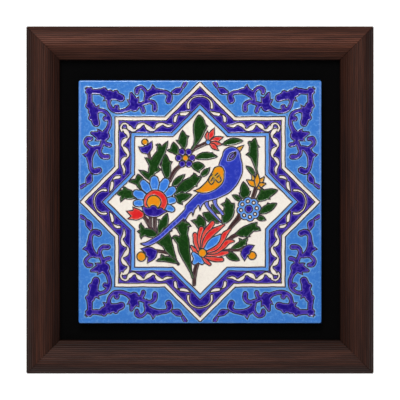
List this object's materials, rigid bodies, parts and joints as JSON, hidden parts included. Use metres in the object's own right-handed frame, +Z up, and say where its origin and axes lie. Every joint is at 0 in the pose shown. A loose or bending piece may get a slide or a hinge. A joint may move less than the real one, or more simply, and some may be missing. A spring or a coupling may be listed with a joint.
{
  "type": "framed ceramic tile",
  "caption": "Square painted ceramic tile with raised star lines, glued to a black mount in a dark reeded wooden frame, made to hang on a wall.",
  "frame": {"origin": "middle of the hanger plate's back face, in the plane of the wall that the frame lies against", "axes": "+Y out of the frame's back into the wall, +Z up, +X to the right seen from the front"},
  "size_m": [0.2862, 0.024, 0.2861],
  "materials": {
    "frame_wood": "dark stained wood, satin, in fine reeds along each rail",
    "black_board": "hardboard, painted matt black in front and bare behind",
    "glazed_tile": "glossy coloured glazes between raised dark lines, bare clay behind",
    "plain_steel": "zinc-plated steel"
  },
  "bodies": {
    "root": {"rail_top": "frame_wood", "rail_right": "frame_wood", "rail_bottom": "frame_wood", "rail_left": "frame_wood", "board_point_top_a": "plain_steel", "board_point_top_b": "plain_steel", "board_point_right_a": "plain_steel", "board_point_right_b": "plain_steel", "board_point_bottom_a": "plain_steel", "board_point_bottom_b": "plain_steel", "board_point_left_a": "plain_steel", "board_point_left_b": "plain_steel", "mount_board": "black_board", "ceramic_tile": "glazed_tile", "sawtooth_hanger": "plain_steel", "hanger_rivet_left": "plain_steel", "hanger_rivet_right": "plain_steel"}
  },
  "joints": []
}
